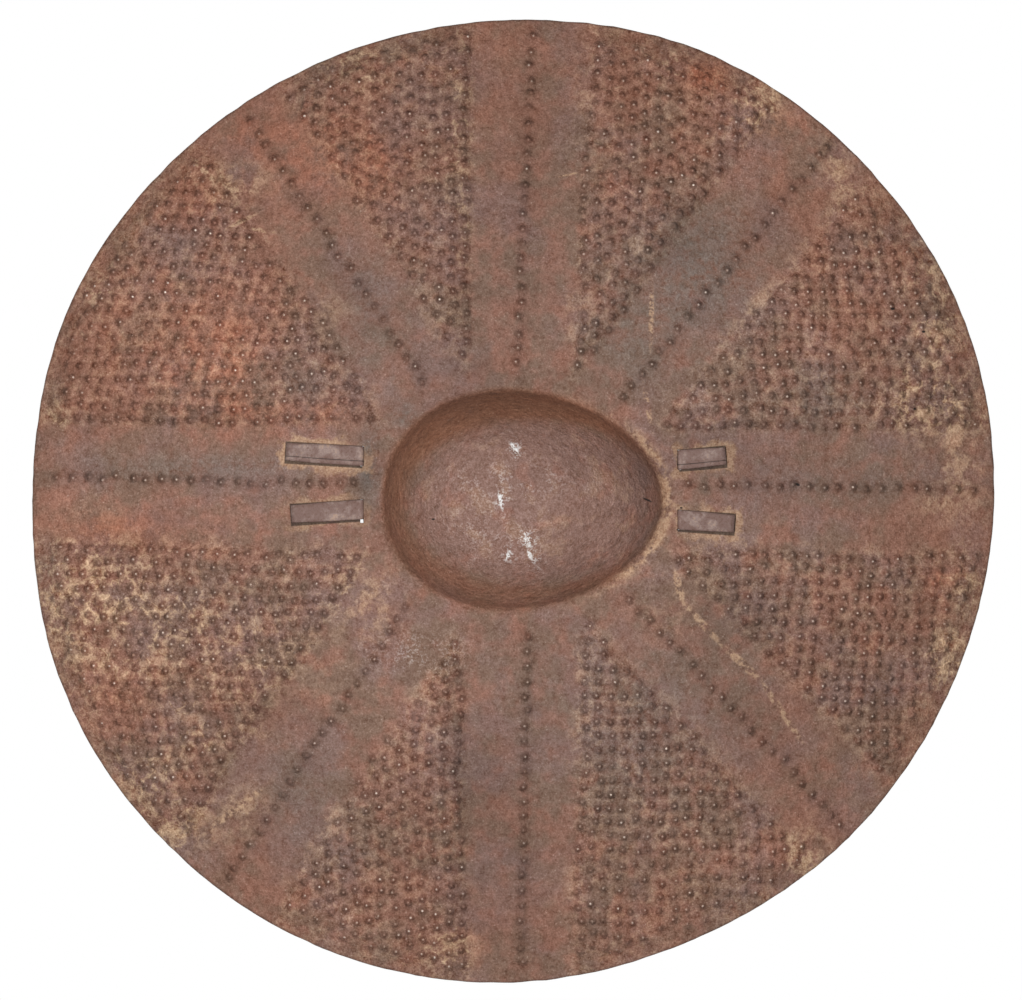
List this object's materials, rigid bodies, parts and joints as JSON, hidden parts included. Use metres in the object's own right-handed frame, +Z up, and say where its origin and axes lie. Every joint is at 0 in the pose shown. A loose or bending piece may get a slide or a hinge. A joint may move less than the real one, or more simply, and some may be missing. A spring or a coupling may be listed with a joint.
{
  "type": "iron dance shield",
  "caption": "Round beaten-iron dance shield with an egg-shaped fist boss, punched fields between plain bands and a grip of forged straps.",
  "frame": {"origin": "middle of the hand grip, half way between the two straps", "axes": "+Z up as the shield is carried, -Y out of the face, +X to the right as the face is seen"},
  "size_m": [0.5609, 0.0716, 0.5616],
  "materials": {
    "rusted_sheet": "old brown rust with tan dust in the hollows, worn bright on the punch tips",
    "forged_strap": "dark forged scale, worn smooth"
  },
  "bodies": {
    "root": {"plate": "rusted_sheet", "upper_strap": "forged_strap", "lower_strap": "forged_strap"}
  },
  "joints": []
}
